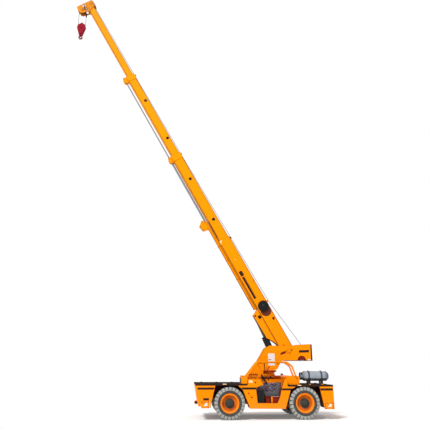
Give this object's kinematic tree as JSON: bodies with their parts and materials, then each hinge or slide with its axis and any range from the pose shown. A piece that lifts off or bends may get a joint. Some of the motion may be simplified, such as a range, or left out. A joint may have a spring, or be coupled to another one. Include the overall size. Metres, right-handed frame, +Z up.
{
  "type": "carry deck crane",
  "caption": "Low wheeled carrier with a load deck, side cab with tube guard, slewing turret, four-stage telescopic boom, hook block and oblique outriggers.",
  "frame": {"origin": "on the ground under the slewing axis", "axes": "+X forward over the load deck, +Y towards the operator's cab on the vehicle's left, +Z up"},
  "size_m": [9.8656, 2.25, 17.0054],
  "materials": {
    "body_paint": "satin",
    "boom_paint": "satin",
    "deck": "matte",
    "frame_paint": "satin",
    "rim_paint": "satin",
    "axle_paint": "matte",
    "tyre": "matte",
    "chrome_rod": "polished",
    "black_steel": "semi-gloss",
    "engine": "matte",
    "block_red": "satin",
    "sheave": "worn",
    "rope": "bright",
    "seat": "matte",
    "black_plastic": "matte",
    "tank": "satin",
    "lamp": "gloss",
    "rubber": "matte",
    "dark_red": "satin"
  },
  "bodies": {
    "carrier": {"side_plate_left": "body_paint", "side_plate_right": "body_paint", "wheel_arches": "body_paint", "end_plates": "body_paint", "front_deck": "deck", "rear_deck": "deck", "outrigger_boxes": "body_paint", "chassis_frame": "frame_paint", "front_axle": "axle_paint", "rear_axle": "axle_paint", "cab_tub": "body_paint", "dashboard": "body_paint", "side_console": "black_plastic", "seat_base": "dark_red", "seat_cushions": "seat", "steering_column": "black_steel", "overhead_guard": "body_paint", "deck_cowls": "body_paint", "engine_hood": "body_paint", "hydraulic_tank": "body_paint", "engine_block": "engine", "headlamps": "lamp", "gas_tank": "tank", "tank_cradle": "black_steel", "pedestal": "body_paint"},
    "steering_wheel": {"steering_wheel": "black_plastic"},
    "turret": {"turret": "body_paint", "tail_bumper": "rubber", "winch_drum": "sheave"},
    "lift_barrel": {"lift_barrel": "black_steel"},
    "lift_rod": {"lift_rod": "chrome_rod"},
    "boom_base": {"boom_base": "boom_paint", "telescope_barrel": "boom_paint", "cable_reel": "black_plastic"},
    "boom_section_2": {"boom_section_2": "boom_paint", "telescope_rod_1": "chrome_rod"},
    "boom_section_3": {"boom_section_3": "boom_paint", "telescope_rod_2": "chrome_rod"},
    "boom_section_4": {"boom_section_4": "boom_paint", "boom_head": "boom_paint", "head_sheaves": "sheave"},
    "hook_block": {"hook_block": "block_red", "hoist_falls": "rope"},
    "hook": {"hook": "block_red"},
    "knuckle_front_left": {"knuckle_front_left": "axle_paint"},
    "wheel_front_left": {"tyre_front_left": "tyre", "wheel_front_left": "rim_paint"},
    "outrigger_front_left": {"outrigger_front_left": "body_paint"},
    "knuckle_front_right": {"knuckle_front_right": "axle_paint"},
    "wheel_front_right": {"tyre_front_right": "tyre", "wheel_front_right": "rim_paint"},
    "outrigger_front_right": {"outrigger_front_right": "body_paint"},
    "knuckle_rear_left": {"knuckle_rear_left": "axle_paint"},
    "wheel_rear_left": {"tyre_rear_left": "tyre", "wheel_rear_left": "rim_paint"},
    "outrigger_rear_left": {"outrigger_rear_left": "body_paint"},
    "knuckle_rear_right": {"knuckle_rear_right": "axle_paint"},
    "wheel_rear_right": {"tyre_rear_right": "tyre", "wheel_rear_right": "rim_paint"},
    "outrigger_rear_right": {"outrigger_rear_right": "body_paint"}
  },
  "joints": [
    {"name": "steer_front_left", "type": "hinge", "parent": "carrier", "child": "knuckle_front_left", "pos_m": [1.392, 0.815, 0.5], "axis": [0, 0, 1], "range_deg": [-26, 26]},
    {"name": "roll_front_left", "type": "hinge", "parent": "knuckle_front_left", "child": "wheel_front_left", "pos_m": [1.392, 0.985, 0.5], "axis": [0, 1, 0], "continuous": true},
    {"name": "steer_front_right", "type": "hinge", "parent": "carrier", "child": "knuckle_front_right", "pos_m": [1.392, -0.815, 0.5], "axis": [0, 0, 1], "range_deg": [-26, 26]},
    {"name": "roll_front_right", "type": "hinge", "parent": "knuckle_front_right", "child": "wheel_front_right", "pos_m": [1.392, -0.985, 0.5], "axis": [0, 1, 0], "continuous": true},
    {"name": "steer_rear_left", "type": "hinge", "parent": "carrier", "child": "knuckle_rear_left", "pos_m": [-1.053, 0.815, 0.5], "axis": [0, 0, 1], "range_deg": [-26, 26]},
    {"name": "roll_rear_left", "type": "hinge", "parent": "knuckle_rear_left", "child": "wheel_rear_left", "pos_m": [-1.053, 0.985, 0.5], "axis": [0, 1, 0], "continuous": true},
    {"name": "steer_rear_right", "type": "hinge", "parent": "carrier", "child": "knuckle_rear_right", "pos_m": [-1.053, -0.815, 0.5], "axis": [0, 0, 1], "range_deg": [-26, 26]},
    {"name": "roll_rear_right", "type": "hinge", "parent": "knuckle_rear_right", "child": "wheel_rear_right", "pos_m": [-1.053, -0.985, 0.5], "axis": [0, 1, 0], "continuous": true},
    {"name": "outrigger_front_left", "type": "slide", "parent": "carrier", "child": "outrigger_front_left", "axis": [0, 0.8829, -0.4695], "range_m": [0, 0.7583]},
    {"name": "outrigger_front_right", "type": "slide", "parent": "carrier", "child": "outrigger_front_right", "axis": [0, -0.8829, -0.4695], "range_m": [0, 0.7583]},
    {"name": "outrigger_rear_left", "type": "slide", "parent": "carrier", "child": "outrigger_rear_left", "axis": [0, 0.8829, -0.4695], "range_m": [0, 0.6624]},
    {"name": "outrigger_rear_right", "type": "slide", "parent": "carrier", "child": "outrigger_rear_right", "axis": [0, -0.8829, -0.4695], "range_m": [0, 0.6624]},
    {"name": "steering_wheel", "type": "hinge", "parent": "carrier", "child": "steering_wheel", "pos_m": [0.22505, 0.835, 1.235], "axis": [-0.848, 0, 0.5299], "range_deg": [-540, 540]},
    {"name": "slew", "type": "hinge", "parent": "carrier", "child": "turret", "pos_m": [0, 0, 1.335], "axis": [0, 0, -1], "continuous": true},
    {"name": "luff", "type": "hinge", "parent": "turret", "child": "boom_base", "pos_m": [-0.78, 0, 2.15], "axis": [0, -1, 0], "range_deg": [-61, 12]},
    {"name": "lift_swing", "type": "hinge", "parent": "turret", "child": "lift_barrel", "pos_m": [-0.37, 0, 1.78], "axis": [0, -1, 0], "range_deg": [-72, 16]},
    {"name": "lift_stroke", "type": "slide", "parent": "lift_barrel", "child": "lift_rod", "axis": [0.4169, 0, 0.9089], "range_m": [-0.62, 0.16]},
    {"name": "telescope", "type": "slide", "parent": "boom_base", "child": "boom_section_2", "axis": [0.4848, 0, 0.8746], "range_m": [-2.6, 0]},
    {"name": "telescope_3", "type": "slide", "parent": "boom_section_2", "child": "boom_section_3", "axis": [0.4848, 0, 0.8746], "range_m": [-3.701, 0]},
    {"name": "telescope_4", "type": "slide", "parent": "boom_section_3", "child": "boom_section_4", "axis": [0.4848, 0, 0.8746], "range_m": [-3.201, 0]},
    {"name": "hook_swing", "type": "hinge", "parent": "boom_section_4", "child": "hook_block", "pos_m": [7.59145, 0, 16.48931], "axis": [0, 1, 0], "range_deg": [-75, 25]},
    {"name": "hook_swivel", "type": "hinge", "parent": "hook_block", "child": "hook", "pos_m": [7.59145, 0, 15.28931], "axis": [0, 0, 1], "continuous": true}
  ],
  "couplings": [
    {"joint": "lift_swing", "follows": "luff", "ratio": 1.048},
    {"joint": "lift_stroke", "follows": "luff", "m_per_rad": 0.508},
    {"joint": "telescope_3", "follows": "telescope", "ratio": 1.4231},
    {"joint": "telescope_4", "follows": "telescope", "ratio": 1.2308},
    {"joint": "steer_front_right", "follows": "steer_front_left", "ratio": 1},
    {"joint": "steer_rear_right", "follows": "steer_rear_left", "ratio": 1}
  ]
}
